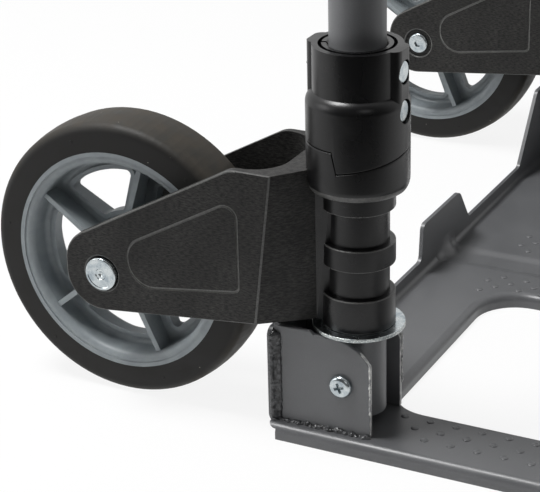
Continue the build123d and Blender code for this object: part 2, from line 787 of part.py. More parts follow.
def toe_plate():
    """Pressed steel toe plate: pan with skirts, two wheel cut-outs and an upturned rear flange."""
    plate = deck_pan(0.0)
    bend_outer = flange_bend + sheet
    bend = cylinder_x(bend_outer, -2 * post_x, 2 * post_x, flange_back - bend_outer,
                      deck_height - sheet + bend_outer)
    under = block(-2 * post_x, 2 * post_x, flange_back - bend_outer, flange_back + overrun, -overrun,
                  deck_height - sheet + bend_outer) - bend
    flange = Pos(0, flange_back, 0) * extrude(Plane.XZ * flange_outline(), amount=sheet)
    web = block(-post_x - flange_end_outer, post_x + flange_end_outer, flange_back - bend_outer,
                flange_back, deck_height - sheet, deck_height + flange_bend)
    web -= cylinder_x(flange_bend, -2 * post_x, 2 * post_x, flange_back - bend_outer, deck_height + flange_bend)
    plate = plate + flange + web
    plate -= under
    plate -= deck_pan(sheet) - channel(deck_height - sheet)
    plate -= channel(deck_height)
    return plate + gusset()


# ---------------------------------------------------------------- handle

def handle_path(start):
    """Centre line of the handle: up one side, across the top and down the other."""
    return FilletPolyline(
        (-post_x, 0, start), (-post_x, 0, handle_top), (post_x, 0, handle_top), (post_x, 0, start),
        radius=handle_bend)


def handle_tube():
    """Aluminium tube bent to a U, both legs running inside the posts."""
    path = handle_path(handle_bottom)
    foot = Plane((-post_x, 0, handle_bottom), z_dir=(0, 0, 1))
    outer = sweep(foot * Circle(handle_radius), path)
    return outer - sweep(foot * Circle(handle_radius - handle_wall), path)


def handle_grip():
    """Soft grip sleeve with shallow finger grooves on the cross part of the handle."""
    inner = handle_radius + running_fit
    body = cylinder_x(grip_radius, -grip_half_length, grip_half_length)
    body = fillet(body.edges().filter_by(GeomType.CIRCLE), grip_end_fillet)
    ring = Circle(grip_radius + overrun) - Circle(grip_radius - grip_groove_depth)
    groove = extrude(Plane.YZ * ring, amount=grip_groove_width / 2, both=True)
    for step in range(grip_groove_count):
        body -= Pos((step - (grip_groove_count - 1) / 2) * grip_groove_pitch, 0, 0) * groove
    body -= cylinder_x(inner, -grip_half_length, grip_half_length)
    return Pos(0, 0, handle_top) * body


def handle_glide():
    """Plastic foot plugged into the handle's leg, running inside the post."""
    foot = cylinder_z(post_bore - sliding_fit, handle_bottom - glide_length, handle_bottom)
    plug_radius = handle_radius - handle_wall - running_fit
    plug = cylinder_z(plug_radius, handle_bottom, handle_bottom + glide_plug_length)
    return foot + plug


def clamp_collar():
    """Split collar on top of the post that grips the handle's leg, with two ears behind."""
    body = cylinder_z(clamp_radius, clamp_bottom, clamp_top)
    body = chamfer(body.edges().filter_by(GeomType.CIRCLE), clamp_rim)
    ear_low = ear_middle - ear_height / 2
    ear_high = ear_middle + ear_height / 2
    ears = block(-ear_thickness, ear_thickness, 0, ear_reach, ear_low, ear_high)
    ears = fillet(ears.edges().filter_by(Axis.X).group_by(Axis.Y)[-1], ear_fillet)
    body += ears
    body -= block(-clamp_slit / 2, clamp_slit / 2, 0, ear_reach + overrun, post_top + overrun,
                  clamp_top + overrun)
    body -= cylinder_z(post_radius + running_fit, clamp_bottom, post_top + touch_gap)
    body -= cylinder_z(handle_radius + sliding_fit, clamp_bottom, clamp_top)
    return body - cylinder_x(clamp_bolt_radius + running_fit, -2 * ear_thickness, 2 * ear_thickness,
                             bolt_line, ear_middle)


def lever_pivot_x():
    """Distance of the lever's pivot from the middle of the collar."""
    return ear_thickness + touch_gap + lever_lobe_radius + lever_offset


def clamp_bolt():
    """Clamping bolt through the ears, with the upright barrel that the lever turns on."""
    pivot = lever_pivot_x()
    end = -ear_thickness - clamp_nut_height
    shank = cylinder_x(clamp_bolt_radius, end, pivot, bolt_line, ear_middle)
    barrel = cylinder_z(barrel_pin_radius, ear_middle - lever_height / 2, ear_middle + lever_height / 2,
                        pivot, bolt_line)
    return shank + barrel


def clamp_nut():
    """Nut on the far end of the clamping bolt."""
    start = -ear_thickness - clamp_nut_height
    nut = hexagon_x(clamp_nut_flats, start, -ear_thickness, bolt_line, ear_middle)
    return nut - cylinder_x(clamp_bolt_radius + running_fit, start, -ear_thickness, bolt_line, ear_middle)


def clamp_lever():
    """Quick-release lever: off-centre lobe on the barrel and a curved arm round the collar."""
    pivot = lever_pivot_x()
    low, high = ear_middle - lever_height / 2, ear_middle + lever_height / 2
    lobe = cylinder_z(lever_lobe_radius, low, high, pivot - lever_offset, bolt_line)
    inner = clamp_radius + lever_gap
    outer = inner + lever_thickness
    section = Plane.XZ * Pos((inner + outer) / 2, ear_middle) * Rectangle(lever_thickness, lever_height)
    turn = Rot(0, 0, lever_start_angle - lever_sweep)
    arm = turn * revolve(section, Axis.Z, lever_sweep)
    tip = block(inner, outer + lever_tip_flare, -lever_tip_length, overrun,
                low + lever_tip_margin, high - lever_tip_margin)
    tip = turn * fillet(tip.edges().filter_by(Axis.Z), lever_tip_fillet)
    lever = lobe + arm + tip
    slot = clamp_bolt_radius + touch_gap
    half = 2 * lever_lobe_radius
    lever -= block(pivot - half, pivot + half, bolt_line - slot, bolt_line + half, ear_middle - slot,
                   ear_middle + slot)
    lever -= cylinder_z(barrel_pin_radius + running_fit, low, high, pivot, bolt_line)
    return lever


# ---------------------------------------------------------------- writing the pieces

def write(name, pieces):
    """Write one node: a single piece or a group of equal ones."""
    group = pieces if isinstance(pieces, list) else [pieces]
    solids = [solid for piece in group for solid in piece.solids()]
    shape = solids[0] if len(solids) == 1 else Compound(children=solids)
    export_step(shape, "parts/" + name + ".step")


def write_pair(name, pieces):
    """Write a piece of the left side, and its mirror image on the right side."""
    group = pieces if isinstance(pieces, list) else [pieces]
    left = [Pos(-post_x, 0, 0) * piece for piece in group]
    write("left_" + name, left)
    write("right_" + name, [mirror(piece, about=Plane.YZ) for piece in left])


pairs = {
    "post": post, "upper_collar": upper_collar, "collar_bolts": collar_bolts, "collar_nuts": collar_nuts,
    "cam_spring": cam_spring, "bracket": bracket, "axle_pin": axle_pin, "axle_screw": axle_screw,
    "tyre": tyre, "rim": rim, "wheel_bushes": wheel_bushes, "thrust_washer": thrust_washer,
    "outer_side_plate": outer_side_plate, "inner_side_plate": inner_side_plate,
    "pivot_screw": pivot_screw, "pivot_nut": pivot_nut, "pivot_spacers": pivot_spacers,
    "handle_glide": handle_glide, "clamp_collar": clamp_collar, "clamp_bolt": clamp_bolt,
    "clamp_nut": clamp_nut, "clamp_lever": clamp_lever,
}
for pair_name, make_piece in pairs.items():
    write_pair(pair_name, make_piece())

write("lower_crossbar", crossbar(lower_crossbar_height))
write("upper_crossbar", crossbar(upper_crossbar_height))
write("toe_plate", toe_plate())
write("handle_tube", handle_tube())
write("handle_grip", handle_grip())
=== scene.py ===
import json
import math
import random

import bpy
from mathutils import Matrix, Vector

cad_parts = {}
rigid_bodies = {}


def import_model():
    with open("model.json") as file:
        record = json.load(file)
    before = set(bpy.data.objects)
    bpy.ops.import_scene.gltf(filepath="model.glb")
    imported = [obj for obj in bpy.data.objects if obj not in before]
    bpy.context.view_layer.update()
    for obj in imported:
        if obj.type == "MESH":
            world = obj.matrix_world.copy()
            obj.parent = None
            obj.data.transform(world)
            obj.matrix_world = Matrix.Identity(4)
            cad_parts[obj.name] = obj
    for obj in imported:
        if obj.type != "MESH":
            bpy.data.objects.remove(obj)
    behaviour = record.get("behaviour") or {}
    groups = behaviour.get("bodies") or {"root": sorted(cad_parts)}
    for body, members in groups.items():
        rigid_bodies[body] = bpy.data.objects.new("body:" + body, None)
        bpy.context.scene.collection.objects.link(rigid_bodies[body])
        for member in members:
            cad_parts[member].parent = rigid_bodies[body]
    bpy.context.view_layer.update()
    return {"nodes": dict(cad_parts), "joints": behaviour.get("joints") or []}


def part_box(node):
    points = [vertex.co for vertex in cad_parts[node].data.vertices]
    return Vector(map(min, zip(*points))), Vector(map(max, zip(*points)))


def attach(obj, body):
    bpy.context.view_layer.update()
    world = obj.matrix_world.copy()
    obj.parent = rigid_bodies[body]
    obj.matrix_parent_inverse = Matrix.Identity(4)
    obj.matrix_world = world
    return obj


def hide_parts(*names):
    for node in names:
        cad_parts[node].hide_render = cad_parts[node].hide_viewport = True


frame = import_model()
nodes = frame["nodes"]

# ------------------------------------------------------------------ floor, lamps and camera
# A plain white studio: a pale room that is dark on the side where the camera stands, and a white floor
# whose colour is painted dark grey there as painted shade, with one soft lamp overhead, one to the left
# and a faint one in front. Dark steel and black mouldings then stay dark in the middle and keep soft
# bright edges. The camera and the far mirror images see the floor as white, with a faint shadow round the
# trolley.


def linear(hex_colour):
    """An sRGB hex colour as the linear colour that a shader takes."""
    channels = [int(hex_colour[start:start + 2], 16) / 255 for start in (1, 3, 5)]
    return [c / 12.92 if c <= 0.04045 else ((c + 0.055) / 1.055) ** 2.4 for c in channels] + [1.0]


def add_node(tree, kind, inputs=None, **settings):
    """A shader node with its settings. An input is given as a value, or as the output it is linked to."""
    made = tree.nodes.new("ShaderNode" + kind)
    for name, value in settings.items():
        setattr(made, name, value)
    for socket, value in (inputs or {}).items():
        if isinstance(value, bpy.types.NodeSocket):
            tree.links.new(value, made.inputs[socket])
        else:
            made.inputs[socket].default_value = value
    return made


bpy.context.scene.view_settings.view_transform = "Standard"

CAMERA_SIDE = (-0.86, -0.50)
bpy.ops.mesh.primitive_plane_add(size=12.0)
floor = bpy.context.object
floor.name = "studio_floor"
floor_paint = bpy.data.materials.new("white_studio_floor")
floor_paint.use_nodes = True
tree = floor_paint.node_tree
tree.nodes.clear()
spot = add_node(tree, "TexCoord").outputs["Object"]
ahead = add_node(tree, "VectorMath", {0: spot, 1: (*CAMERA_SIDE, 0.0)}, operation="DOT_PRODUCT")
# Painted shade: the floor's colour turns from white to dark grey on the side where the camera stands, and
# mirrors see it dark there too.
dark = add_node(tree, "MapRange", {"Value": ahead.outputs["Value"], "From Min": 0.34, "From Max": 0.62},
                interpolation_type="SMOOTHSTEP").outputs[0]
floor_with_painted_shade = add_node(tree, "Mix", {"Factor": dark, 6: linear("#f4f4f4"), 7: linear("#4a4a4a")}, data_type="RGBA")
lit = add_node(tree, "BsdfDiffuse", {"Color": floor_with_painted_shade.outputs[2]})
plain = add_node(tree, "Emission", {"Color": linear("#ffffff"), "Strength": 1.0})
seen = add_node(tree, "LightPath").outputs
mirror = add_node(tree, "Math", {0: seen["Is Glossy Ray"], 1: seen["Is Transmission Ray"]}).outputs[0]
mirrored_white = add_node(tree, "Math", {0: mirror, 1: dark}, operation="SUBTRACT",
                          use_clamp=True).outputs[0]
white = add_node(tree, "Math", {0: seen["Is Camera Ray"], 1: mirrored_white}, use_clamp=True).outputs[0]
away = add_node(tree, "VectorMath", {0: spot}, operation="LENGTH").outputs["Value"]
no_shadow = add_node(tree, "MapRange", {"Value": away, "From Min": 0.8, "From Max": 1.6, "To Min": 0.88})
unlit = add_node(tree, "Math", {0: no_shadow.outputs[0], 1: dark}, operation="MAXIMUM").outputs[0]
share = add_node(tree, "Math", {0: white, 1: unlit}, operation="MULTIPLY")
mixed = add_node(tree, "MixShader", {"Fac": share.outputs[0], 1: lit.outputs[0], 2: plain.outputs[0]})
add_node(tree, "OutputMaterial", {"Surface": mixed.outputs[0]})
floor.data.materials.append(floor_paint)

world = bpy.data.worlds.new("pale_room")
bpy.context.scene.world = world
world.use_nodes = True
tree = world.node_tree
tree.nodes.clear()
seen = add_node(tree, "LightPath").outputs
mirror = add_node(tree, "Math", {0: seen["Is Glossy Ray"], 1: seen["Is Transmission Ray"]}).outputs[0]
direction = add_node(tree, "TexCoord").outputs["Generated"]
facing = add_node(tree, "VectorMath", {0: direction, 1: (*CAMERA_SIDE, 0.10)}, operation="DOT_PRODUCT")
fall = {"From Min": -0.1, "From Max": 0.75, "To Min": 0.3, "To Max": 0.04}
wall = add_node(tree, "MapRange", {"Value": facing.outputs["Value"], **fall},
                interpolation_type="SMOOTHSTEP").outputs[0]
gain = add_node(tree, "Math", {0: mirror, 1: 2.0, 2: 1.0}, operation="MULTIPLY_ADD").outputs[0]
backdrop = add_node(tree, "Math", {0: wall, 1: gain}, operation="MULTIPLY").outputs[0]
strength = add_node(tree, "Math", {0: backdrop, 1: seen["Is Camera Ray"]}, operation="MAXIMUM")
room = add_node(tree, "Background", {"Color": linear("#ffffff"), "Strength": strength.outputs[0]})
add_node(tree, "OutputWorld", {"Surface": room.outputs[0]})

lamps = {
    "lamp_above": ((-0.5, 0.8, 2.0), (-0.15, 0.0, 0.1), 0.8, 42.0),
    "lamp_left": ((-1.3, 1.7, 0.9), (-0.2, 0.0, 0.1), 1.0, 7.0),
    "lamp_front": ((-1.7, -1.3, 1.3), (-0.2, 0.0, 0.1), 1.0, 2.0),
}
for name, (place, target, size, power) in lamps.items():
    bpy.ops.object.light_add(type="AREA", location=place)
    lamp = bpy.context.object
    lamp.name = name
    lamp.data.shape = "DISK"
    lamp.data.size = size
    lamp.data.energy = power
    lamp.rotation_euler = (Vector(target) - Vector(place)).to_track_quat("-Z", "Y").to_euler()

bpy.ops.object.camera_add(location=(-1.1311, -0.4140, 0.5513))
camera = bpy.context.object
camera.name = "studio_camera"
camera.data.lens = 131.1
camera.data.sensor_width = 36.0
camera.rotation_euler = (math.radians(90 - 23.79), 0, math.radians(27.52 - 90))
camera.rotation_euler.rotate_axis("Z", math.radians(-1.42))
bpy.context.scene.camera = camera

# ------------------------------------------------------------------ posts and crossbars
# The frame is thin steel tube, sawn, coped and welded, then sprayed with graphite powder and baked.
# A ring of weld lies round each crossbar's end, under the paint.


def corners(node):
    """A CAD piece's lowest and highest corner, to a micrometre."""
    return [[round(value, 6) for value in corner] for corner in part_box(node)]


def reach_x(node):
    """Where a CAD piece starts and ends along X."""
    return [corner[0] for corner in corners(node)]


def joint_place(name):
    """The point that a CAD joint turns about."""
    return next(joint["pos_m"] for joint in frame["joints"] if joint["name"] == name)


POST_X = sum(reach_x("right_post")) / 2
POST_RADIUS = reach_x("right_post")[1] - POST_X


def start_material(name):
    """A new material with an empty tree but for its shader and output."""
    made = bpy.data.materials.new(name)
    made.use_nodes = True
    tree = made.node_tree
    tree.nodes.clear()
    shader = add_node(tree, "BsdfPrincipled")
    add_node(tree, "OutputMaterial", {"Surface": shader.outputs[0]})
    return made, tree, shader


def pattern(tree, kind, size_mm, stretch=(1.0, 1.0, 1.0), **more):
    """A texture of one kind in the piece's own space, its features about size_mm across."""
    place = add_node(tree, "TexCoord").outputs["Object"]
    scale = tuple(1000.0 / (size_mm * part) for part in stretch)
    turned = add_node(tree, "Mapping", {"Vector": place, "Scale": scale}).outputs[0]
    inputs = {"Vector": turned, "Scale": 1.0}
    inputs.update(more.pop("inputs", {}))
    return add_node(tree, kind, inputs, **more)


def spread(tree, source, low, high, start=0.35, end=0.65):
    """The source's middle range, spread from low to high."""
    return add_node(tree, "MapRange", {"Value": source, "From Min": start, "From Max": end,
                                       "To Min": low, "To Max": high}).outputs[0]


def blend_colours(tree, share, first, second):
    """One colour mixed into another by a share."""
    made = add_node(tree, "Mix", {"Factor": share}, data_type="RGBA")
    for socket, colour in ((6, first), (7, second)):
        if isinstance(colour, bpy.types.NodeSocket):
            tree.links.new(colour, made.inputs[socket])
        else:
            made.inputs[socket].default_value = linear(colour)
    return made.outputs[2]


def set_shader(tree, shader, colour, roughness, height=None, depth_mm=0.0, **uniform):
    """Join a material's colour, roughness and bump to its shader. Depth is the bump's real height."""
    tree.links.new(colour, shader.inputs["Base Color"])
    tree.links.new(roughness, shader.inputs["Roughness"])
    if height is not None:
        bump = add_node(tree, "Bump", {"Height": height, "Distance": depth_mm / 1000.0, "Strength": 1.0})
        tree.links.new(bump.outputs[0], shader.inputs["Normal"])
    for name, value in uniform.items():
        shader.inputs[name.replace("_", " ")].default_value = value


def dress(material, *names):
    """Give CAD pieces their finish."""
    for name in names:
        mesh = nodes[name].data
        mesh.materials.clear()
        mesh.materials.append(material)


def both(name):
    """The left and the right piece of a pair."""
    return ["left_" + name, "right_" + name]


def graphite_powder(name, dark, light, smooth, rough, wave):
    """Graphite powder coat: a satin dark grey with faint metal flake, cloudy by a shade, and the soft
    dimpled skin of baked powder. The dimples are drawn at 2 mm, a little coarse, so that they show. Wave
    is the waviness of the sheet beneath, against the dimples."""
    made, tree, shader = start_material(name)
    cloud = pattern(tree, "TexNoise", 34.0, inputs={"Detail": 3.0}).outputs["Fac"]
    flake = pattern(tree, "TexNoise", 0.5, inputs={"Detail": 2.0}).outputs["Fac"]
    peel = pattern(tree, "TexNoise", 2.0, inputs={"Detail": 3.0, "Roughness": 0.6}).outputs["Fac"]
    base = blend_colours(tree, spread(tree, cloud, 0.0, 1.0, 0.2, 0.8), dark, light)
    sparkle = blend_colours(tree, spread(tree, flake, 0.0, 0.4, 0.6, 0.75), base, "#8f9193")
    swell = pattern(tree, "TexNoise", 48.0, (1.6, 0.8, 1.0), inputs={"Detail": 1.0}).outputs["Fac"]
    height = add_node(tree, "Math", {0: swell, 1: wave, 2: peel}, operation="MULTIPLY_ADD").outputs[0]
    set_shader(tree, shader, sparkle, spread(tree, cloud, smooth, rough, 0.2, 0.8), height, 0.04,
               Specular_IOR_Level=0.6)
    return made


frame_powder = graphite_powder("graphite_powder_coat_on_tube", "#6a6b6d", "#747577", 0.42, 0.5, 0.0)
dress(frame_powder, *both("post"), "lower_crossbar", "upper_crossbar")


def weld_bead(name, path, size, material, body, seed, wander=0.1, uneven=0.15, grain=0.0005,
              smoothing=3):
    """A weld along a path of points: overlapping drops of uneven size, fused and run smooth. A point
    may carry a fourth value, its drop's share of the size."""
    chance = random.Random(seed)
    bpy.ops.object.select_all(action="DESELECT")
    drops = []
    for place in path:
        whole = chance.uniform(1 - uneven, 1 + uneven) * (place[3] if len(place) > 3 else 1.0)
        place = place[:3]
        bpy.ops.mesh.primitive_ico_sphere_add(subdivisions=2, radius=size / 2, location=place)
        drop = bpy.context.object
        drop.scale = [whole * chance.uniform(0.85, 1.15) for axis in range(3)]
        drift = Vector([chance.uniform(-wander, wander) * size for axis in range(3)])
        drop.location = Vector(place) + drift
        drops.append(drop)
    for drop in drops:
        drop.select_set(True)
    bpy.context.view_layer.objects.active = drops[0]
    bpy.ops.object.join()
    bead = bpy.context.object
    bead.name = name
    bpy.ops.object.transform_apply(location=True, rotation=True, scale=True)
    fuse = bead.modifiers.new("fuse", "REMESH")
    fuse.mode = "VOXEL"
    fuse.voxel_size = grain
    fuse.use_smooth_shade = True
    bpy.ops.object.modifier_apply(modifier=fuse.name)
    flow = bead.modifiers.new("flow", "SMOOTH")
    flow.factor = 0.5
    flow.iterations = smoothing
    bpy.ops.object.modifier_apply(modifier=flow.name)
    bead.data.materials.clear()
    bead.data.materials.append(material)
    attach(bead, body)
    return bead


RING_DROPS = 34
for level in ("lower", "upper"):
    bar_front, bar_foot = corners(level + "_crossbar")[0][1:]
    bar_radius = -bar_front
    height = bar_foot + bar_radius
    for side, sign in (("left", -1), ("right", 1)):
        ring = []
        for step in range(RING_DROPS):
            angle = 2 * math.pi * step / RING_DROPS
            y = bar_radius * math.cos(angle)
            reach = math.sqrt(POST_RADIUS ** 2 - y ** 2)
            ring.append((sign * (POST_X - reach - 0.0004), y, height + bar_radius * math.sin(angle)))
        weld_bead(side + "_" + level + "_crossbar_weld", ring, 0.0032, frame_powder, "frame",
                  len(ring) + sign)

# ------------------------------------------------------------------ toe plate
# One steel sheet, pressed into a pan with soft shoulders, with two openings for the folded wheels
# and a rear flange bent up. Small raised dimples keep a load from sliding. Powder coated as the frame.

plate_powder = graphite_powder("graphite_powder_coat_on_sheet", "#5a5b5d", "#646567", 0.32, 0.42, 12.0)


def pick(piece, kind, wanted):
    """Edit mode with the points, edges or faces selected whose middle and direction pass the test."""
    bpy.ops.object.select_all(action="DESELECT")
    piece.select_set(True)
    bpy.context.view_layer.objects.active = piece
    bpy.context.tool_settings.mesh_select_mode = (kind == "VERT", kind == "EDGE", kind == "FACE")
    mesh = piece.data
    for group in (mesh.vertices, mesh.edges, mesh.polygons):
        group.foreach_set("select", [False] * len(group))
    if kind == "FACE":
        chosen = [face for face in mesh.polygons if wanted(face.center, face.normal)]
    elif kind == "VERT":
        chosen = [point for point in mesh.vertices if wanted(point.co, point.normal)]
    else:
        chosen = []
        for edge in mesh.edges:
            a, b = [mesh.vertices[index].co for index in edge.vertices]
            if wanted((a + b) / 2, (b - a).normalized()):
                chosen.append(edge)
    for one in chosen:
        one.select = True
    bpy.ops.object.mode_set(mode="EDIT")


def rounded_copy(node, width, name, angle=28.0, segments=2, softer=(), reshape=None):
    """A copy of a CAD piece for its body, its loose triangles merged and its sharp edges rounded. The
    edges that a softer test picks get their own, wider rounding first. A reshape function works on the
    bare copy."""
    bpy.ops.object.select_all(action="DESELECT")
    nodes[node].select_set(True)
    bpy.context.view_layer.objects.active = nodes[node]
    bpy.ops.object.duplicate()
    piece = bpy.context.object
    bpy.ops.object.parent_clear(type="CLEAR_KEEP_TRANSFORM")
    for key in list(piece.keys()):
        del piece[key]
    piece.name = name
    bpy.ops.mesh.customdata_custom_splitnormals_clear()
    bpy.ops.object.mode_set(mode="EDIT")
    bpy.ops.mesh.select_all(action="SELECT")
    bpy.ops.mesh.remove_doubles(threshold=1e-5)
    bpy.ops.mesh.dissolve_limited(angle_limit=math.radians(0.6))
    bpy.ops.object.mode_set(mode="OBJECT")
    if reshape:
        reshape(piece)
    for wanted, wide in softer:
        pick(piece, "EDGE", wanted)
        bpy.ops.mesh.bevel(offset=wide, segments=3)
        bpy.ops.object.mode_set(mode="OBJECT")
    rounding = piece.modifiers.new("rounding", "BEVEL")
    rounding.width = width
    rounding.segments = segments
    rounding.limit_method = "ANGLE"
    rounding.angle_limit = math.radians(angle)
    bpy.ops.object.modifier_apply(modifier=rounding.name)
    bpy.ops.object.shade_smooth_by_angle(angle=math.radians(50))
    flats = piece.modifiers.new("flats", "WEIGHTED_NORMAL")
    flats.mode = "FACE_AREA"
    flats.weight = 100
    flats.keep_sharp = True
    bpy.ops.object.modifier_apply(modifier=flats.name)
    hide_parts(node)
    return piece


def finish_piece(piece, material, body):
    """A new piece's material and body."""
    piece.data.materials.clear()
    piece.data.materials.append(material)
    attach(piece, body)


# The side plates stand on the deck and against the flange.
(PLATE_SIDE, PLATE_FRONT, DECK_TOP), (_, FLANGE_FRONT, _) = corners("left_outer_side_plate")
RIB_SIDE = 0.016
RIB_AHEAD = 0.019
RIB_OVER = 0.012


def by_rib(place, room=0.0):
    """On the upper side of the sheet, round the rib that is pressed across the rear bend."""
    ahead, over = FLANGE_FRONT - place.y, place.z - DECK_TOP
    within = ahead < RIB_AHEAD + room and over < RIB_OVER + room
    return abs(place.x) < RIB_SIDE + room and within and ahead > -0.0005 and over > -0.002


def soften_rib(piece):
    """The rib run smoothly into the deck and the flange: its surroundings are cut out of the long
    triangles, made into an even fine mesh, and smoothed."""
    room = 0.001
    bpy.ops.object.mode_set(mode="EDIT")
    bpy.ops.mesh.select_all(action="SELECT")
    bpy.ops.mesh.quads_convert_to_tris()
    for place, across in (((-RIB_SIDE - room, 0, 0), (1, 0, 0)), ((RIB_SIDE + room, 0, 0), (1, 0, 0)),
                          ((0, FLANGE_FRONT - RIB_AHEAD - room, 0), (0, 1, 0)),
                          ((0, 0, DECK_TOP + RIB_OVER + room), (0, 0, 1))):
        bpy.ops.mesh.select_all(action="SELECT")
        bpy.ops.mesh.bisect(plane_co=place, plane_no=across)
    bpy.ops.object.mode_set(mode="OBJECT")
    for halving in range(4):
        pick(piece, "FACE", lambda middle, normal: by_rib(middle, room))
        bpy.ops.mesh.quads_convert_to_tris()
        bpy.ops.mesh.subdivide(number_cuts=1)
        bpy.ops.object.mode_set(mode="OBJECT")
        pick(piece, "VERT", lambda co, normal: by_rib(co))
        bpy.ops.mesh.remove_doubles(threshold=0.0006)
        bpy.ops.object.mode_set(mode="OBJECT")
    pick(piece, "VERT", lambda co, normal: by_rib(co))
    bpy.ops.mesh.vertices_smooth(factor=0.5, repeat=90)
    bpy.ops.mesh.select_all(action="SELECT")
    bpy.ops.mesh.normals_make_consistent(inside=False)
    bpy.ops.object.mode_set(mode="OBJECT")


pressing = rounded_copy("toe_plate", 0.0003, "toe_plate_pressing", reshape=soften_rib)
finish_piece(pressing, plate_powder, "toe_plate")
bpy.ops.object.select_all(action="DESELECT")
bpy.ops.mesh.primitive_uv_sphere_add(segments=12, ring_count=8, radius=0.0024)
dimple = bpy.context.object
dimple.scale = (1.0, 1.0, 0.26)
bpy.ops.object.transform_apply(location=False, rotation=False, scale=True)
bpy.ops.object.mode_set(mode="EDIT")
bpy.ops.mesh.select_all(action="SELECT")
bpy.ops.mesh.bisect(plane_co=(0, 0, -0.0001), plane_no=(0, 0, 1), clear_inner=True, use_fill=True)
bpy.ops.object.mode_set(mode="OBJECT")
bpy.ops.object.shade_smooth()
ROW_STEP = 0.0157
FRONT_STEP = 0.0166
FRONT_ROWS_Y = -0.166
FRONT_ROW_GAP = 0.0135
rows = []
for sign in (-1, 1):
    rows += [(sign * 0.023, -0.009, 9), (sign * 0.031, -0.001, 9), (sign * 0.0385, -0.009, 9)]
    rows += [(sign * 0.223, -0.025, 8), (sign * 0.2335, -0.0354, 7), (sign * 0.244, -0.0456, 6)]
places = [(x, y - ROW_STEP * step) for x, y, count in rows for step in range(count)]
places += [(sign * 0.047, -0.001) for sign in (-1, 1)]
for row in range(4):
    count = 27 - row % 2
    for step in range(count):
        places.append(((step - (count - 1) / 2) * FRONT_STEP, FRONT_ROWS_Y - FRONT_ROW_GAP * row))
dimples = [dimple]
for x, y in places:
    bpy.ops.object.select_all(action="DESELECT")
    dimple.select_set(True)
    bpy.context.view_layer.objects.active = dimple
    bpy.ops.object.duplicate()
    bpy.context.object.location = (x, y, DECK_TOP)
    dimples.append(bpy.context.object)
bpy.data.objects.remove(dimples.pop(0))
for one in dimples:
    one.select_set(True)
bpy.context.view_layer.objects.active = dimples[0]
bpy.ops.object.join()
dimples = bpy.context.object
dimples.name = "deck_dimples"
bpy.ops.object.transform_apply(location=True, rotation=True, scale=True)
finish_piece(dimples, plate_powder, "toe_plate")

# ------------------------------------------------------------------ side plates
# Two steel plates stand on the toe plate either side of each post, welded along the deck and up the
# rear flange by hand before painting. The weld is lumpy, and dark where the paint is thin. The front
# edges are sheared and keep a burr; their bright colour is a painted highlight on the edge.

# Dark, glossy powder over the bead's ripples, with paler scale spots that break up its sheen.
weld_paint, tree, shader = start_material("powder_coat_over_weld")
scale_spots = pattern(tree, "TexNoise", 2.6, inputs={"Detail": 4.0, "Roughness": 0.65}).outputs["Fac"]
ripple = pattern(tree, "TexNoise", 1.1, inputs={"Detail": 3.0}).outputs["Fac"]
colour = blend_colours(tree, spread(tree, scale_spots, 0.0, 1.0, 0.38, 0.62), "#111112", "#525355")
set_shader(tree, shader, colour, spread(tree, scale_spots, 0.4, 0.18), ripple, 0.12)

# A sheared edge with a painted highlight: bright streaks painted between greyer ones, for the light that
# the edge catches.
plate_edge_highlight_paint, tree, shader = start_material("powder_coat_with_painted_edge_highlight")
edge_streaks = pattern(tree, "TexNoise", 1.6, (1.0, 1.0, 2.5), inputs={"Detail": 3.0}).outputs["Fac"]
colour = blend_colours(tree, spread(tree, edge_streaks, 0.0, 1.0, 0.4, 0.6), "#8f9091", "#dcdcd9")
set_shader(tree, shader, colour, spread(tree, edge_streaks, 0.36, 0.2), edge_streaks, 0.1)

PLATE_OUTER = -POST_X - PLATE_SIDE
PLATE_INNER = POST_X + reach_x("left_inner_side_plate")[1]
REAR_STEP = 0.00105
DECK_STEP = 0.0008
BURR_FOOT = 0.024
BURR_STEP = 0.0006
for side, sign in (("left", -1), ("right", 1)):
    for which, offset in (("outer", PLATE_OUTER), ("inner", -PLATE_INNER)):
        node = side + "_" + which + "_side_plate"
        cut_plate = rounded_copy(node, 0.0008, node + "_cut")
        finish_piece(cut_plate, plate_powder, "toe_plate")
        cut_plate.data.materials.append(plate_edge_highlight_paint)
        # The forward-facing faces at the plates' front edges take the painted edge highlight.
        for face in cut_plate.data.polygons:
            if face.normal.y < -0.4 and face.center.y < PLATE_FRONT + 0.006:
                face.material_index = 1
        side_x = sign * (POST_X + offset)
        out = sign * math.copysign(1.0, offset)
        rear = []
        for step in range(50):
            height = DECK_TOP + 0.0025 + REAR_STEP * step
            rear += [(side_x + out * 0.0006, FLANGE_FRONT - 0.0006, height),
                     (side_x + out * 0.0002, FLANGE_FRONT - 0.0036, height, 0.5),
                     (side_x + out * 0.0034, FLANGE_FRONT - 0.0002, height, 0.5)]
        weld_bead(node + "_rear_weld", rear, 0.0052, weld_paint, "toe_plate", 7 + sign,
                  wander=0.05, uneven=0.1, smoothing=14)
        start = PLATE_FRONT + (0.0 if which == "outer" else 0.012)
        bottom = [(side_x + out * 0.0002, start + DECK_STEP * step, DECK_TOP - 0.0002)
                  for step in range(int((FLANGE_FRONT - start) / DECK_STEP))]
        weld_bead(node + "_deck_weld", bottom, 0.0034, weld_paint, "toe_plate", 17 + sign,
                  wander=0.3, uneven=0.35, grain=0.0004, smoothing=2)
        # The burr beads are real shape; their bright colour is the painted edge highlight.
        burr = [(side_x - out * 0.0004, PLATE_FRONT + 0.0001, BURR_FOOT + BURR_STEP * step)
                for step in range(52)]
        weld_bead(node + "_burr", burr, 0.0015, plate_edge_highlight_paint, "toe_plate", 27 + sign,
                  wander=0.12, uneven=0.3, grain=0.00035)

# ------------------------------------------------------------------ pivot screws and nuts
# Each side of the fold turns on one pan-headed steel screw with a cross recess, zinc plated, and a
# lock nut with a nylon ring. Plastic sleeves keep the post in the middle.

PIVOT_HEIGHT = joint_place("plate_fold")[2]

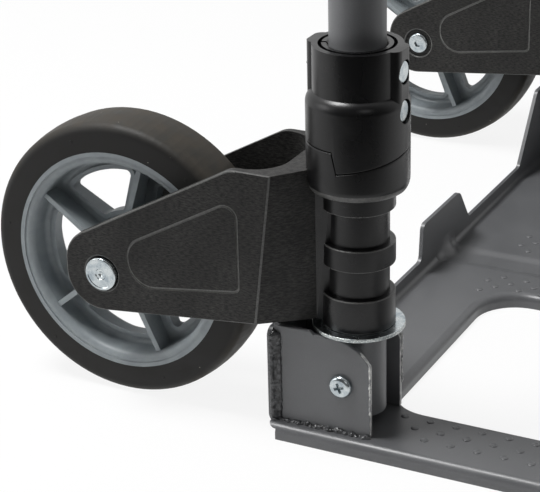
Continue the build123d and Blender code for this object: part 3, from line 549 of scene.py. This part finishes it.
# Bright zinc: a cool mirror, clouded by blotches, with a trace of the steel's grain.
zinc_plate, tree, shader = start_material("bright_zinc_plate")
blotch = pattern(tree, "TexNoise", 5.0, inputs={"Detail": 4.0, "Roughness": 0.6}).outputs["Fac"]
grain = pattern(tree, "TexNoise", 0.35, inputs={"Detail": 2.0}).outputs["Fac"]
colour = blend_colours(tree, spread(tree, blotch, 0.0, 1.0), "#9fa9af", "#cdd3d4")
set_shader(tree, shader, colour, spread(tree, blotch, 0.16, 0.28), grain, 0.008, Metallic=1.0)


def close_shape(piece, angle=40.0):
    """Back to object mode with doubles merged, faces outwards, and smooth but for real corners."""
    if bpy.context.mode != "EDIT_MESH":
        pick(piece, "FACE", lambda middle, normal: True)
    bpy.ops.mesh.select_all(action="SELECT")
    bpy.ops.mesh.remove_doubles(threshold=1e-6)
    bpy.ops.mesh.normals_make_consistent(inside=False)
    bpy.ops.object.mode_set(mode="OBJECT")
    bpy.ops.object.shade_smooth_by_angle(angle=math.radians(angle))


def bar_x(name, radius, x0, x1, y, z, sides=48):
    """A round bar along X as a start for turned parts, its place in its mesh."""
    bpy.ops.object.select_all(action="DESELECT")
    bpy.ops.mesh.primitive_cylinder_add(vertices=sides, radius=radius, depth=abs(x1 - x0),
                                        location=((x0 + x1) / 2, y, z), rotation=(0, math.pi / 2, 0))
    bar = bpy.context.object
    bar.name = name
    bpy.ops.object.transform_apply(location=True, rotation=True, scale=True)
    return bar


def joined(name, *pieces):
    """Several pieces as one."""
    bpy.ops.object.select_all(action="DESELECT")
    for piece in pieces:
        piece.select_set(True)
    bpy.context.view_layer.objects.active = pieces[0]
    if len(pieces) > 1:
        bpy.ops.object.join()
    bpy.context.object.name = name
    return bpy.context.object


def mirrored(piece, name):
    """The same piece for the other side."""
    bpy.ops.object.select_all(action="DESELECT")
    piece.select_set(True)
    bpy.context.view_layer.objects.active = piece
    bpy.ops.object.duplicate()
    other = bpy.context.object
    other.name = name
    bpy.ops.object.mode_set(mode="EDIT")
    bpy.ops.mesh.select_all(action="SELECT")
    bpy.ops.transform.resize(value=(-1, 1, 1), center_override=(0, 0, 0))
    bpy.ops.mesh.flip_normals()
    bpy.ops.object.mode_set(mode="OBJECT")
    return other


def cut(piece, tool):
    """Cut one piece with another, and take the tool away."""
    bpy.ops.object.select_all(action="DESELECT")
    bpy.context.view_layer.objects.active = piece
    piece.select_set(True)
    cutting = piece.modifiers.new("cut", "BOOLEAN")
    cutting.operation = "DIFFERENCE"
    cutting.solver = "EXACT"
    cutting.object = tool
    bpy.ops.object.modifier_apply(modifier=cutting.name)
    bpy.data.objects.remove(tool)


def near(value, target, room=1e-5):
    """Two lengths the same but for a small room."""
    return abs(value - target) < room


def cross_recess(head, x_face, y, z, long, wide, deep, turn):
    """A cross recess cut into a face that looks along -X, narrower at the bottom, with a pointed pit."""
    for quarter in (0, 90):
        bpy.ops.object.select_all(action="DESELECT")
        bpy.ops.mesh.primitive_cube_add(size=1.0, location=(x_face, y, z))
        blade = bpy.context.object
        blade.scale = (2 * deep, long, wide)
        bpy.ops.object.transform_apply(location=True, rotation=True, scale=True)
        pick(blade, "FACE", lambda middle, normal: normal.x > 0.9)
        bpy.ops.transform.resize(value=(1.0, 0.3, 0.6), center_override=(x_face + deep, y, z))
        bpy.ops.mesh.select_all(action="SELECT")
        bpy.ops.transform.rotate(value=math.radians(turn + quarter), orient_axis="X",
                                 center_override=(x_face, y, z))
        bpy.ops.object.mode_set(mode="OBJECT")
        cut(head, blade)
    pit = bar_x("pit", wide * 0.95, x_face - deep, x_face + deep * 0.85, y, z, 20)
    pick(pit, "FACE", lambda middle, normal: normal.x > 0.9)
    bpy.ops.transform.resize(value=(1.0, 0.25, 0.25), center_override=(x_face, y, z))
    bpy.ops.object.mode_set(mode="OBJECT")
    cut(head, pit)


def screw_head(name, x_face, x_back, radius, rounding, y, z):
    """A pan head that looks along -X, with a rounded rim."""
    head = bar_x(name, radius, x_face, x_back, y, z)
    pick(head, "EDGE", lambda middle, way: near(middle.x, x_face, 1e-4))
    bpy.ops.mesh.bevel(offset=rounding, segments=6)
    bpy.ops.object.mode_set(mode="OBJECT")
    return head


HEAD_FACE, SCREW_END = reach_x("left_pivot_screw")
HEAD_BACK = PLATE_SIDE - 0.0003
head = screw_head("screw", HEAD_FACE, HEAD_BACK, radius=0.0069, rounding=0.0027, y=0, z=PIVOT_HEIGHT)
cross_recess(head, HEAD_FACE, 0, PIVOT_HEIGHT, long=0.0095, wide=0.0021, deep=0.0025, turn=20)
shank = bar_x("shank", 0.004, HEAD_BACK - 0.0002, SCREW_END, 0, PIVOT_HEIGHT)
pick(shank, "EDGE", lambda middle, way: near(middle.x, SCREW_END, 1e-4))
bpy.ops.mesh.bevel(offset=0.0006, segments=1)
close_shape(shank)
left_screw = joined("left_pivot_screw_made", head, shank)
close_shape(left_screw, 32.0)
right_screw = mirrored(left_screw, "right_pivot_screw_made")

NUT_START, NUT_END = reach_x("left_pivot_nut")
NYLON_RING = 0.0015
nut = bar_x("left_pivot_nut_made", 0.0075, NUT_START, NUT_END - NYLON_RING, 0, PIVOT_HEIGHT, 6)
pick(nut, "EDGE", lambda middle, way: abs(way.x) < 0.1)
bpy.ops.mesh.bevel(offset=0.0007, segments=2)
close_shape(nut, 25.0)
pick(nut, "FACE", lambda middle, normal: normal.x > 0.99)
bpy.ops.mesh.inset(thickness=0.0013)
bpy.ops.mesh.extrude_region_move(TRANSFORM_OT_translate={"value": (NYLON_RING, 0, 0)})
bpy.ops.transform.resize(value=(1, 0.94, 0.94), center_override=(NUT_END, 0, PIVOT_HEIGHT))
close_shape(nut, 25.0)
right_nut = mirrored(nut, "right_pivot_nut_made")
for side, screw, lock_nut in (("left", left_screw, nut), ("right", right_screw, right_nut)):
    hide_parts(side + "_pivot_screw")
    finish_piece(screw, zinc_plate, "frame")
    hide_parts(side + "_pivot_nut")
    finish_piece(lock_nut, zinc_plate, "frame")

# ------------------------------------------------------------------ thrust washers
# A stamped steel washer between the bracket and the side plates. Its rim is torn by the die, so it
# is rough and catches the light in small flecks, under thin zinc.

# Torn steel under zinc: dark pits and bright flecks along the rim.
stamped_zinc, tree, shader = start_material("zinc_plate_on_stamped_edge")
tear = pattern(tree, "TexNoise", 1.3, (1.0, 1.0, 0.5), inputs={"Detail": 5.0, "Roughness": 0.75})
tear = tear.outputs["Fac"]
fine = pattern(tree, "TexNoise", 0.5, inputs={"Detail": 3.0}).outputs["Fac"]
colour = blend_colours(tree, spread(tree, tear, 0.0, 1.0, 0.4, 0.6), "#7d868b", "#d5d8d4")
set_shader(tree, shader, colour, spread(tree, fine, 0.25, 0.45), tear, 0.09, Metallic=1.0)
for side in ("left", "right"):
    washer = rounded_copy(side + "_thrust_washer", 0.0005, side + "_thrust_washer_stamped", segments=3)
    finish_piece(washer, stamped_zinc, side + "_washer")
    washer.data.materials.append(zinc_plate)
    for face in washer.data.polygons:
        if abs(face.normal.z) > 0.95:
            face.material_index = 1

# ------------------------------------------------------------------ brackets and upper collars
# Both are moulded in black glass-filled nylon. The fork's flat sides have a spark-eroded grain that
# runs in short flat flecks, the round barrel and collar are smoother, with a soft satin sheen. Pale
# painted highlights lie on the sloping edges and in the groove round each panel. The spring lies in the
# cam.


def black_nylon(name, dark, light, grain_mm, stretch, low, high, depth_mm, gloss=0.25):
    """Black glass-filled nylon, moulded: nearly black, with flecks of a lighter grey where the grain
    catches light. The flecks are drawn at about 2 mm, so that they show."""
    made, tree, shader = start_material(name)
    fleck = pattern(tree, "TexNoise", grain_mm, stretch, inputs={"Detail": 5.0, "Roughness": 0.7})
    fleck = fleck.outputs["Fac"]
    cloud = pattern(tree, "TexNoise", 26.0, inputs={"Detail": 3.0}).outputs["Fac"]
    pit = pattern(tree, "TexNoise", 0.7, inputs={"Detail": 2.0}).outputs["Fac"]
    both_grains = add_node(tree, "Math", {0: fleck, 1: pit}, operation="ADD").outputs[0]
    base = blend_colours(tree, spread(tree, fleck, 0.0, 1.0, 0.4, 0.66), dark, light)
    base = blend_colours(tree, spread(tree, cloud, 0.0, 0.35), base, dark)
    set_shader(tree, shader, base, spread(tree, cloud, low, high), both_grains, depth_mm,
               Specular_IOR_Level=gloss)
    return made


def highlight_nylon(name, dark, light):
    """Black nylon with a painted highlight, for sloping edges and the groove round each panel: smoother and
    paler.
    """
    return black_nylon(name, dark, light, 1.5, (1.0, 1.0, 1.0), 0.3, 0.4, 0.02, 0.5)


fork_nylon = black_nylon("grained_black_nylon", "#141414", "#403f3d", 1.5, (2.0, 2.0, 0.5),
                         0.46, 0.58, 0.06)
collar_nylon = black_nylon("satin_black_nylon", "#0b0b0c", "#151516", 1.8, (3.0, 3.0, 0.4),
                           0.24, 0.36, 0.02, 0.4)
# Two paler copies that paint highlights: one in the groove round each panel, one on the sloping edges.
nylon_groove_highlight = highlight_nylon("black_nylon_painted_groove_highlight", "#646462", "#80807d")
nylon_edge_highlight = highlight_nylon("black_nylon_painted_edge_highlight", "#494948", "#666664")

COLLAR_RADIUS = reach_x("right_upper_collar")[1] - POST_X
COLLAR_TOP = corners("right_upper_collar")[1][2]
SKIRT_FOOT = 0.16
FORK_HALF = reach_x("right_bracket")[1] - POST_X
FORK_TOP = 0.162
FORK_FOOT = 0.0722


def off_axis(place, axis_x):
    """Distance from the post's axis."""
    return math.hypot(place.x - axis_x, place.y)


def on_seam(middle, way, axis_x):
    """On the outer edge of the cam's seam, not on the upright lines of the skirt."""
    within = 0.1652 < middle.z < 0.1788
    return abs(way.z) < 0.985 and within and off_axis(middle, axis_x) > COLLAR_RADIUS - 0.0004


def on_ring(middle, way, axis_x):
    """On a level round edge of the barrel."""
    return abs(way.z) < 0.1 and middle.z < SKIRT_FOOT and near(off_axis(middle, axis_x), 0.0235, 0.0045)


def in_panel(middle):
    """Within the framed panel on the fork's side, clear of the fork's own sloping outline."""
    under_top = middle.z < FORK_TOP - 0.551 * (middle.y - 0.0605) - 0.012
    over_bottom = middle.z > FORK_FOOT - 0.106 * (middle.y - 0.047) + 0.008
    return 0.050 < middle.y < 0.134 and under_top and over_bottom


def on_outline(middle, axis_x):
    """On the outer edge of a fork's arm."""
    return near(abs(middle.x - axis_x), FORK_HALF, 1e-4) and not in_panel(middle)


# Slots 2 and 3 carry the painted highlights for the edges and the groove.
COLLAR, EDGE, GROOVE_HIGHLIGHT = 1, 2, 3
for side, axis_x in (("left", -POST_X), ("right", POST_X)):
    seam = (lambda middle, way: on_seam(middle, way, axis_x), 0.0008)
    outline = (lambda middle, way: on_outline(middle, axis_x), 0.0010)
    rings = (lambda middle, way: on_ring(middle, way, axis_x), 0.0007)
    bracket = rounded_copy(side + "_bracket", 0.0004, side + "_bracket_moulding",
                           softer=(seam, outline, rings))
    finish_piece(bracket, fork_nylon, side + "_bracket")
    for finish in (collar_nylon, nylon_edge_highlight, nylon_groove_highlight):
        bracket.data.materials.append(finish)
    for face in bracket.data.polygons:
        reach = max(off_axis(bracket.data.vertices[index].co, axis_x) for index in face.vertices)
        slope = abs(face.normal.z)
        stand = abs(face.center.x - axis_x)
        # Sloping faces of the barrel's rings and of the fork's outline get the painted edge highlight, and
        # the faces in the panel's groove get the painted groove highlight.
        if reach < COLLAR_RADIUS + 0.0003 and not (face.center.y > 0.017 and slope > 0.9):
            face.material_index = EDGE if 0.25 < slope < 0.97 and face.center.z < SKIRT_FOOT else COLLAR
        elif stand > FORK_HALF - 0.0015:
            if in_panel(face.center) and not near(stand, FORK_HALF, 2e-5):
                face.material_index = GROOVE_HIGHLIGHT
            elif 0.2 < abs(face.normal.x) < 0.97:
                face.material_index = EDGE
    collar = rounded_copy(side + "_upper_collar", 0.0005, side + "_collar_moulding", softer=(seam,))
    finish_piece(collar, collar_nylon, "frame")
    collar.data.materials.append(nylon_edge_highlight)
    # The sloping faces round the collar's top rim get the painted edge highlight.
    for face in collar.data.polygons:
        if face.center.z > COLLAR_TOP - 0.0012 and 0.25 < face.normal.z < 0.97:
            face.material_index = 1
dress(zinc_plate, *both("collar_bolts"), *both("collar_nuts"))

# Dark drawn wire with a film of oil that shines unevenly.
spring_wire, tree, shader = start_material("oiled_spring_steel")
film = pattern(tree, "TexNoise", 3.0, inputs={"Detail": 3.0}).outputs["Fac"]
colour = blend_colours(tree, spread(tree, film, 0.0, 1.0), "#77787a", "#96979a")
set_shader(tree, shader, colour, spread(tree, film, 0.25, 0.45), Metallic=1.0)
dress(spring_wire, *both("cam_spring"))

# ------------------------------------------------------------------ axles
# A turned steel pin with a broad flat head on the outside and a tapped inner end, held by a button
# screw with a hexagon socket. The head has a shallow step, and a small cross struck in its centre.

AXLE_Y, AXLE_Z = joint_place("left_wheel_spin")[1:]
PIN_FACE, PIN_END = reach_x("left_axle_pin")
PIN_HEAD = 0.0034
BUTTON_FACE = reach_x("left_axle_screw")[1]
BUTTON_HEAD = 0.0026


def sink_middle(border, depth, narrower):
    """A step turned into the face that is selected: a border kept, and the middle sunk and narrowed."""
    bpy.ops.mesh.inset(thickness=border)
    bpy.ops.mesh.extrude_region_move(TRANSFORM_OT_translate={"value": (depth, 0, 0)})
    bpy.ops.transform.resize(value=(1, narrower, narrower), center_override=(PIN_FACE, AXLE_Y, AXLE_Z))


head = bar_x("pin", 0.0100, PIN_FACE, PIN_FACE + PIN_HEAD, AXLE_Y, AXLE_Z, 64)
pick(head, "EDGE", lambda middle, way: near(middle.x, PIN_FACE, 1e-4))
bpy.ops.mesh.bevel(offset=0.0008, segments=4)
bpy.ops.object.mode_set(mode="OBJECT")
pick(head, "FACE", lambda middle, normal: normal.x < -0.99 and near(middle.x, PIN_FACE, 1e-4))
sink_middle(border=0.0007, depth=0.0003, narrower=0.95)
sink_middle(border=0.0045, depth=0.0006, narrower=0.85)
sink_middle(border=0.0012, depth=0.0009, narrower=0.4)
bpy.ops.object.mode_set(mode="OBJECT")
cross_recess(head, PIN_FACE, AXLE_Y, AXLE_Z, long=0.0066, wide=0.0009, deep=0.0012, turn=12)
shank = bar_x("shank", 0.006, PIN_FACE + PIN_HEAD - 0.0002, PIN_END, AXLE_Y, AXLE_Z)
left_pin = joined("left_axle_pin_made", head, shank)
close_shape(left_pin, 30.0)

button = bar_x("left_axle_screw_made", 0.00775, BUTTON_FACE - BUTTON_HEAD, BUTTON_FACE, AXLE_Y, AXLE_Z)
pick(button, "EDGE", lambda middle, way: near(middle.x, BUTTON_FACE, 1e-4))
bpy.ops.mesh.bevel(offset=0.0016, segments=4)
bpy.ops.object.mode_set(mode="OBJECT")
socket = bar_x("socket", 0.0029, BUTTON_FACE - 0.0018, BUTTON_FACE + 0.002, AXLE_Y, AXLE_Z, 6)
cut(button, socket)
close_shape(button, 30.0)
for side in ("left", "right"):
    pin = left_pin if side == "left" else mirrored(left_pin, "right_axle_pin_made")
    screw = button if side == "left" else mirrored(button, "right_axle_screw_made")
    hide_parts(side + "_axle_pin")
    finish_piece(pin, zinc_plate, side + "_bracket")
    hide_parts(side + "_axle_screw")
    finish_piece(screw, zinc_plate, side + "_bracket")

# ------------------------------------------------------------------ wheels
# The rim is moulded in blue-grey plastic with thin blades for spokes and a lip round each window.
# The tyre is solid dark rubber, stretched over the rim, its tread dulled by dust from the floor. Six
# small round marks on each side are left by the mould's pins. The hub's bushes are natural nylon.

# A satin blue-grey plastic, faintly streaked by its flow in the mould, with a fine skin.
wheel_plastic, tree, shader = start_material("blue_grey_moulded_plastic")
flow = pattern(tree, "TexNoise", 9.0, (2.0, 1.0, 1.0), inputs={"Detail": 4.0, "Roughness": 0.6})
flow = flow.outputs["Fac"]
skin = pattern(tree, "TexNoise", 0.9, inputs={"Detail": 2.0}).outputs["Fac"]
colour = blend_colours(tree, spread(tree, flow, 0.0, 1.0), "#868d91", "#92999c")
set_shader(tree, shader, colour, spread(tree, flow, 0.38, 0.5), skin, 0.02)
for side in ("left", "right"):
    rim = rounded_copy(side + "_rim", 0.0003, side + "_rim_moulding")
    finish_piece(rim, wheel_plastic, side + "_wheel")

# Nearly black rubber, smeared with faint brown dust that is thickest on the tread, and a few specks
# of grit.
tyre_rubber, tree, shader = start_material("solid_black_rubber")
place = add_node(tree, "TexCoord").outputs["Object"]
from_hub = add_node(tree, "VectorMath", {0: place, 1: (0, AXLE_Y, AXLE_Z)}, operation="SUBTRACT").outputs[0]
across = add_node(tree, "VectorMath", {0: from_hub, 1: (0, 1, 1)}, operation="MULTIPLY").outputs[0]
radius = add_node(tree, "VectorMath", {0: across}, operation="LENGTH").outputs["Value"]
worn = add_node(tree, "MapRange", {"Value": radius, "From Min": 0.0800, "From Max": 0.0840}).outputs[0]
smear = pattern(tree, "TexNoise", 12.0, inputs={"Detail": 4.0, "Roughness": 0.6}).outputs["Fac"]
speck = pattern(tree, "TexNoise", 1.2, inputs={"Detail": 3.0}).outputs["Fac"]
wall = blend_colours(tree, spread(tree, smear, 0.0, 1.0), "#121110", "#1b1a18")
tread = blend_colours(tree, spread(tree, smear, 0.0, 1.0), "#272520", "#39342d")
colour = blend_colours(tree, worn, wall, tread)
cells = pattern(tree, "TexVoronoi", 9.0).outputs["Distance"]
colour = blend_colours(tree, spread(tree, cells, 1.0, 0.0, 0.02, 0.045), colour, "#8d8a82")
set_shader(tree, shader, colour, spread(tree, smear, 0.54, 0.68), speck, 0.04, Specular_IOR_Level=0.35)

TYRE_HALF = 0.0179
TYRE_FOOT = 0.0150
TYRE_DEPTH = 0.018
TYRE_MIDDLE = AXLE_Z - TYRE_DEPTH / 2
centre = (-POST_X, AXLE_Y, AXLE_Z)
above = AXLE_Z + 0.08
below = AXLE_Z + 0.0675
bpy.ops.object.select_all(action="DESELECT")
bpy.ops.mesh.primitive_plane_add(size=1.0, location=(-POST_X, AXLE_Y, AXLE_Z + TYRE_MIDDLE),
                                 rotation=(math.pi / 2, 0, 0))
tyre = bpy.context.object
tyre.name = "left_tyre_made"
tyre.scale = (2 * TYRE_HALF, TYRE_DEPTH, 1.0)
bpy.ops.object.transform_apply(location=True, rotation=True, scale=True)
pick(tyre, "EDGE", lambda middle, way: middle.z > above)
bpy.ops.mesh.subdivide(number_cuts=5)
bpy.ops.object.mode_set(mode="OBJECT")
for off, drop in ((TYRE_HALF / 3, 0.00024), (TYRE_HALF * 2 / 3, 0.00096), (TYRE_HALF, 0.0016)):
    pick(tyre, "VERT", lambda co, normal: near(abs(co.x + POST_X), off, 5e-4) and co.z > above)
    bpy.ops.transform.translate(value=(0, 0, -drop))
    bpy.ops.object.mode_set(mode="OBJECT")
pick(tyre, "VERT", lambda co, normal: abs(co.x + POST_X) > TYRE_HALF - 0.0009 and co.z > above)
bpy.ops.mesh.bevel(offset=0.0050, segments=8, affect="VERTICES")
bpy.ops.object.mode_set(mode="OBJECT")
pick(tyre, "EDGE", lambda middle, way: middle.z < below)
bpy.ops.mesh.subdivide(number_cuts=2)
bpy.ops.object.mode_set(mode="OBJECT")
pick(tyre, "VERT", lambda co, normal: abs(co.x + POST_X) < TYRE_HALF / 2 and co.z < below)
bpy.ops.transform.resize(value=(3 * TYRE_FOOT / TYRE_HALF, 1, 1), center_override=centre)
bpy.ops.mesh.extrude_region_move(TRANSFORM_OT_translate={"value": (0, 0, -0.0037)})
bpy.ops.transform.resize(value=(0.967, 1, 1), center_override=centre)
bpy.ops.mesh.select_all(action="SELECT")
bpy.ops.mesh.spin(steps=96, angle=2 * math.pi, center=centre, axis=(1, 0, 0))
bpy.ops.object.mode_set(mode="OBJECT")
pick(tyre, "FACE", lambda middle, normal: abs(normal.y) > 0.999 and near(middle.y, AXLE_Y, 1e-4))
bpy.ops.mesh.delete(type="ONLY_FACE")
close_shape(tyre, 50.0)

MARK_CIRCLE = 0.0752
marks = []
for step in range(6):
    angle = math.radians(21 + 60 * step)
    y = AXLE_Y + MARK_CIRCLE * math.sin(angle)
    z = AXLE_Z + MARK_CIRCLE * math.cos(angle)
    for x in (-POST_X - TYRE_HALF, -POST_X + TYRE_HALF):
        mark = bar_x("mark", 0.0009, x - 0.0002, x + 0.0002, y, z, 12)
        pick(mark, "EDGE", lambda middle, way: True)
        bpy.ops.mesh.bevel(offset=0.0001, segments=1)
        close_shape(mark)
        marks.append(mark)
tyre = joined("left_tyre_made", tyre, *marks)
right_tyre = mirrored(tyre, "right_tyre_made")
for side, made in (("left", tyre), ("right", right_tyre)):
    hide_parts(side + "_tyre")
    finish_piece(made, tyre_rubber, side + "_wheel")

# Undyed nylon, a hazy cream white.
natural_nylon, tree, shader = start_material("natural_nylon")
haze = pattern(tree, "TexNoise", 6.0, inputs={"Detail": 3.0}).outputs["Fac"]
colour = blend_colours(tree, spread(tree, haze, 0.0, 1.0), "#d3d0c6", "#dedcd3")
set_shader(tree, shader, colour, spread(tree, haze, 0.4, 0.5))
dress(natural_nylon, *both("wheel_bushes"), *both("pivot_spacers"), *both("handle_glide"))

# ------------------------------------------------------------------ handle
# The handle is drawn aluminium tube, bent to a U and satin anodised. Its grip is a soft foamed
# sleeve pushed over the middle, with shallow rings for the fingers.

# A soft silver sheen that blurs what it mirrors, with the fine etch of the anodising bath.
satin_aluminium, tree, shader = start_material("satin_anodised_aluminium")
etch = pattern(tree, "TexNoise", 0.5, inputs={"Detail": 2.0}).outputs["Fac"]
cloud = pattern(tree, "TexNoise", 20.0, inputs={"Detail": 2.0}).outputs["Fac"]
colour = blend_colours(tree, spread(tree, cloud, 0.0, 1.0), "#b3b5b7", "#bfc1c3")
set_shader(tree, shader, colour, spread(tree, cloud, 0.31, 0.37), etch, 0.0015, Metallic=1.0)
dress(satin_aluminium, "handle_tube")

# Matt black foam with fine open cells and a little shine where hands rub it.
soft_grip, tree, shader = start_material("foamed_black_grip")
foam = pattern(tree, "TexVoronoi", 1.1).outputs["Distance"]
smear = pattern(tree, "TexNoise", 18.0, inputs={"Detail": 3.0}).outputs["Fac"]
colour = blend_colours(tree, spread(tree, smear, 0.0, 1.0), "#1b1b1c", "#262626")
set_shader(tree, shader, colour, spread(tree, smear, 0.72, 0.86), foam, 0.12)
grip = rounded_copy("handle_grip", 0.0006, "handle_grip_sleeve")
finish_piece(grip, soft_grip, "handle")

# ------------------------------------------------------------------ clamps
# A split collar of black nylon on each post grips the handle's leg when its lever is closed. The
# bolt and nut are zinc plated.

clamp_nylon = black_nylon("fine_grained_black_nylon", "#161617", "#242425", 1.2, (1.0, 1.0, 1.0),
                          0.4, 0.52, 0.04)
for side in ("left", "right"):
    clamp = rounded_copy(side + "_clamp_collar", 0.0007, side + "_clamp_moulding", segments=3)
    finish_piece(clamp, clamp_nylon, "frame")
    lever = rounded_copy(side + "_clamp_lever", 0.0008, side + "_lever_moulding", segments=3)
    finish_piece(lever, clamp_nylon, side + "_lever")
dress(zinc_plate, *both("clamp_bolt"), *both("clamp_nut"))
